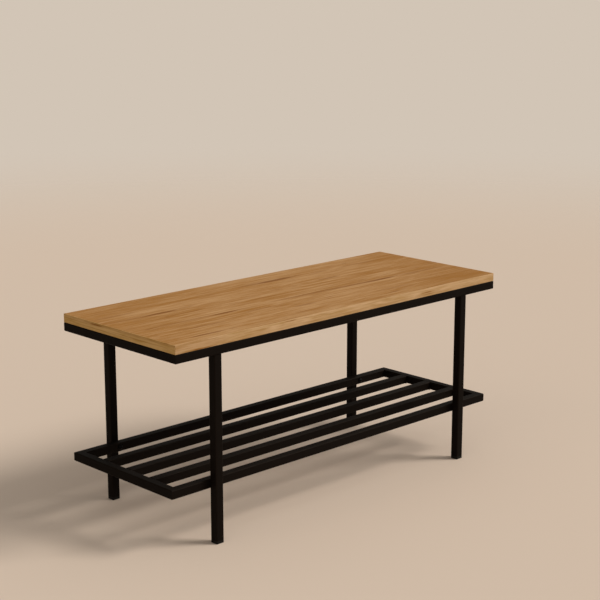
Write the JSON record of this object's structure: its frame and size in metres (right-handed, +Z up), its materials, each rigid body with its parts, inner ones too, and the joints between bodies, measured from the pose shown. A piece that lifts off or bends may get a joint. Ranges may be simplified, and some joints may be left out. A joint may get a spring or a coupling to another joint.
{
  "type": "entryway bench",
  "caption": "Free-standing bench with a flat oak faced seat on a square tube frame, four straight legs and a low slatted shelf for shoes.",
  "frame": {"origin": "on the floor under the middle of the seat, centre of the bottom of the bounding box", "axes": "+X along the bench towards its right end as seen from the front, -Y towards the front, +Z up"},
  "size_m": [1, 0.38, 0.45],
  "materials": {
    "oak_veneer": "clear matt lacquer over oak veneer",
    "oak_edge": "clear matt lacquer over oak edge strip",
    "chipboard": "raw chipboard",
    "balancing_sheet": "matt",
    "black_powder_coat": "matt, fine texture",
    "black_plastic": "moulded, fine grain",
    "black_oxide_steel": "black oxide, lightly oiled",
    "zinc_plated_steel": "bright zinc plate"
  },
  "bodies": {
    "root": {"seat_top_veneer": "oak_veneer", "seat_front_edge_band": "oak_edge", "seat_back_edge_band": "oak_edge", "seat_left_edge_band": "oak_edge", "seat_right_edge_band": "oak_edge", "seat_core": "chipboard", "seat_backing_sheet": "balancing_sheet", "seat_front_rail": "black_powder_coat", "seat_back_rail": "black_powder_coat", "seat_left_rail": "black_powder_coat", "seat_right_rail": "black_powder_coat", "left_cross_rail": "black_powder_coat", "right_cross_rail": "black_powder_coat", "front_left_leg": "black_powder_coat", "front_right_leg": "black_powder_coat", "back_left_leg": "black_powder_coat", "back_right_leg": "black_powder_coat", "shelf_front_bar": "black_powder_coat", "shelf_back_bar": "black_powder_coat", "shelf_left_bar": "black_powder_coat", "shelf_right_bar": "black_powder_coat", "front_slat": "black_powder_coat", "middle_slat": "black_powder_coat", "back_slat": "black_powder_coat", "leg_nut_plates": "black_powder_coat", "front_left_foot": "black_plastic", "front_right_foot": "black_plastic", "back_left_foot": "black_plastic", "back_right_foot": "black_plastic", "leg_bolts": "black_oxide_steel", "shelf_bolts": "black_oxide_steel", "shelf_bolt_washers": "black_oxide_steel", "leg_bolt_washers": "zinc_plated_steel", "shelf_rivet_nuts": "zinc_plated_steel", "board_screws": "zinc_plated_steel"}
  },
  "joints": []
}
